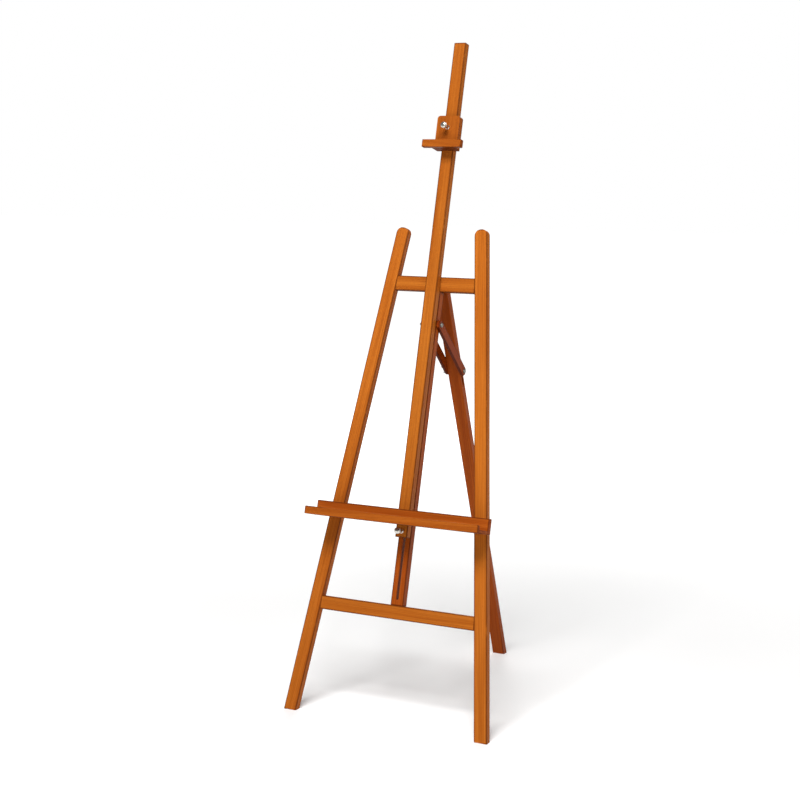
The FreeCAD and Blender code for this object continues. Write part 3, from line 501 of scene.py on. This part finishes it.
def make_screws(node):
    """Countersunk wood screws with a cross recess, one mesh for each."""
    for number, points in enumerate(islands(node)):
        top, axis, length, shank, wide = screw_shape(points)
        twist = Matrix.Rotation(random.uniform(0, math.pi), 4, "Z")
        place = axis_place(top, axis) @ twist
        cone = wide - shank
        profile = [(-length, 0), (-length, 0.25 * shank), (-length + 1.6 * shank, shank)]
        profile += [(-cone - 0.2 * MM, shank), (-0.25 * MM, wide), (-0.06 * MM, wide * 0.985)]
        profile += [(0, wide * share) for share in HEAD_RINGS]
        profile += [(0, 0)]
        screw = turned_mesh(f"{node}_{number}", place, profile, count=48)
        back = place.inverted()
        for vertex in screw.data.vertices:
            spot = back @ vertex.co
            reach = math.hypot(spot.x, spot.y)
            arm = min(abs(spot.x), abs(spot.y))
            if spot.z > -1e-6 and reach < 0.62 * wide and arm < 0.17 * wide:
                depth = 0.42 * wide * (1 - reach / (0.75 * wide))
                vertex.co = place @ Vector((spot.x, spot.y, -depth))
        material = metal(f"metal_{node}_{number}", AXIS_ROWS, top, ZINC[0], ZINC[1], 0.30, turned=0.0005)
        stands_for(screw, node, material)


def smooth_loop(points, rounds=2):
    """Corner cutting that turns a coarse loop into a smooth one."""
    for _ in range(rounds):
        cut = []
        for (x0, y0), (x1, y1) in zip(points, points[1:] + points[:1]):
            cut.append((0.75 * x0 + 0.25 * x1, 0.75 * y0 + 0.25 * y1))
            cut.append((0.25 * x0 + 0.75 * x1, 0.25 * y0 + 0.75 * y1))
        points = cut
    return points


def make_wing_nut(node, bolt):
    """Cast nut: a round hub with two bowed finger wings."""
    low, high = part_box(bolt)
    centre = (low + high) / 2
    points = points_of(node)
    axis = -SIDE
    face = points[:, 0].max()
    origin = Vector((face, centre.y, centre.z))
    offset = points - np.array(origin)
    offset[:, 0] = 0
    far = Vector(offset[np.linalg.norm(offset, axis=1).argmax()])
    place = axis_place(origin, axis, far.normalized())
    hub = turned_mesh("wing_nut_hub", place, [(0, 3.05 * MM), (0, 5.4 * MM), (0.5 * MM, 5.5 * MM),
                      (3.8 * MM, 5.2 * MM), (4.7 * MM, 4.6 * MM), (5 * MM, 4.0 * MM), (5 * MM, 3.05 * MM),
                      (0, 3.05 * MM)])
    reach = far.length / MM
    outline = [(4.4, 0.8), (6.4, 1.4), (9.0, 3.6), (11.8, 6.6), (reach - 0.2, 9.6), (reach - 0.1, 11.9),
               (reach - 3.0, 12.2), (9.6, 11.6), (7.4, 8.8), (5.6, 5.2), (4.4, 4.6)]
    shape = bmesh.new()
    shape.from_mesh(hub.data)
    for side in (-1, 1):
        loop = smooth_loop([(side * x * MM, y * MM) for x, y in outline])
        layers = [(-1.5, 0.86), (-1.1, 1.0), (1.1, 1.0), (1.5, 0.86)]
        middle_x = sum(x for x, _ in loop) / len(loop)
        middle_y = sum(y for _, y in loop) / len(loop)
        rings = []
        for depth, share in layers:
            rings.append([shape.verts.new(place @ Vector((middle_x + (x - middle_x) * share, depth * MM,
                                                          middle_y + (y - middle_y) * share)))
                          for x, y in loop])
        for first, second in zip(rings, rings[1:]):
            for step in range(len(loop)):
                after = (step + 1) % len(loop)
                shape.faces.new([first[step], first[after], second[after], second[step]])
        shape.faces.new(rings[0])
        shape.faces.new(rings[-1][::-1])
    bmesh.ops.recalc_face_normals(shape, faces=shape.faces)
    shape.to_mesh(hub.data)
    shape.free()
    hub.data.shade_smooth()
    hub.data.set_sharp_from_angle(angle=SHARP_ANGLE)
    material = metal("metal_wing_nut", SIDE_ROWS, origin, ZINC[0], ZINC[1], 0.34, spangle=0.5)
    stands_for(hub, node, material)


make_knob("mast_lock_knob", "mast_lock_bolt", "mast_lock_turn")
make_knob("clamp_knob", "clamp_screw", "clamp_screw_turn")
make_wing_nut("brace_wing_nut", "brace_leg_bolt")
for node in ("hinge_frame_screws", "hinge_leg_screws", "clamp_strap_screws", "tray_rail_screws"):
    make_screws(node)

# ---------------------------------------------------------------- stage and light
FLOOR_SIZE = 60.0
WORLD_FILL = 0.15  # strength of the world as a light


def stage_floor():
    """Large pale floor with a faint plaster mottle."""
    bpy.ops.mesh.primitive_plane_add(size=FLOOR_SIZE, location=(0, 0, 0))
    floor = bpy.context.object
    floor.name = "studio_floor"
    g = Graph("studio_floor")
    place = g.node("ShaderNodeTexCoord", "Object")
    mottle = g.noise(place, detail=3, scale=2.0)
    g.put(g.shader.inputs["Base Color"], g.mix(mottle, colour(0.88, 0.88, 0.88), colour(0.92, 0.92, 0.92)))
    # painted light: the floor glows, weakly near the easel and strongly far off, so that it reads white
    away = g.vector("LENGTH", g.vector("MULTIPLY", place, (1, 1, 0)), output=1)
    g.put(g.shader.inputs["Emission Strength"], g.band(away, 0.8, 5.0, 0.10, 0.95))
    g.shader.inputs["Emission Color"].default_value = colour(1, 1, 1)
    g.shader.inputs["Roughness"].default_value = 0.9
    g.shader.inputs["Specular IOR Level"].default_value = 0.1
    dress(floor, g.material)


def area_light(name, place, target, size, power):
    data = bpy.data.lights.new(name, "AREA")
    data.shape = "RECTANGLE"
    data.size, data.size_y = size
    data.energy = power
    light = bpy.data.objects.new(name, data)
    light.location = place
    light.rotation_mode = "QUATERNION"
    light.rotation_quaternion = (Vector(target) - Vector(place)).to_track_quat("-Z", "Y")
    bpy.context.scene.collection.objects.link(light)


def studio_world():
    """White to the camera, dimmer as a light so that the soft boxes shape the wood."""
    world = bpy.data.worlds.new("studio_white")
    bpy.context.scene.world = world
    world.use_nodes = True
    tree = world.node_tree
    tree.nodes.clear()
    seen = tree.nodes.new("ShaderNodeBackground")
    seen.inputs["Strength"].default_value = 1.0
    seen.inputs["Color"].default_value = colour(1, 1, 1)
    fill = tree.nodes.new("ShaderNodeBackground")
    fill.inputs["Strength"].default_value = WORLD_FILL
    fill.inputs["Color"].default_value = colour(1.0, 0.985, 0.96)
    path = tree.nodes.new("ShaderNodeLightPath")
    blend = tree.nodes.new("ShaderNodeMixShader")
    out = tree.nodes.new("ShaderNodeOutputWorld")
    tree.links.new(path.outputs["Is Camera Ray"], blend.inputs[0])
    tree.links.new(fill.outputs[0], blend.inputs[1])
    tree.links.new(seen.outputs[0], blend.inputs[2])
    tree.links.new(blend.outputs[0], out.inputs["Surface"])


stage_floor()
studio_world()
area_light("key_box", (1.0, -4.3, 6.3), (0, -0.1, 0.7), (3.6, 2.4), 560)
area_light("fill_box", (3.6, -3.4, 1.5), (0, 0, 0.7), (2.4, 2.0), 20)
area_light("rear_box", (-1.8, 4.6, 4.2), (0, 0, 0.9), (3.0, 2.4), 110)
bpy.context.scene.view_settings.view_transform = "Standard"

# ---------------------------------------------------------------- camera
CAMERA_PLACE = (2.197, -4.518, 1.620)
CAMERA_YAW = 27.58
CAMERA_PITCH = 8.27
CAMERA_ROLL = 0.21
CAMERA_LENS = 76.0


def make_camera():
    data = bpy.data.cameras.new("camera")
    data.lens = CAMERA_LENS
    data.sensor_width = 36.0
    data.clip_end = 200
    camera = bpy.data.objects.new("camera", data)
    camera.location = CAMERA_PLACE
    turn = Matrix.Rotation(math.radians(CAMERA_YAW), 4, "Z")
    turn = turn @ Matrix.Rotation(math.radians(90 - CAMERA_PITCH), 4, "X")
    turn = turn @ Matrix.Rotation(math.radians(CAMERA_ROLL), 4, "Z")
    camera.rotation_euler = turn.to_euler()
    bpy.context.scene.collection.objects.link(camera)
    bpy.context.scene.camera = camera


make_camera()
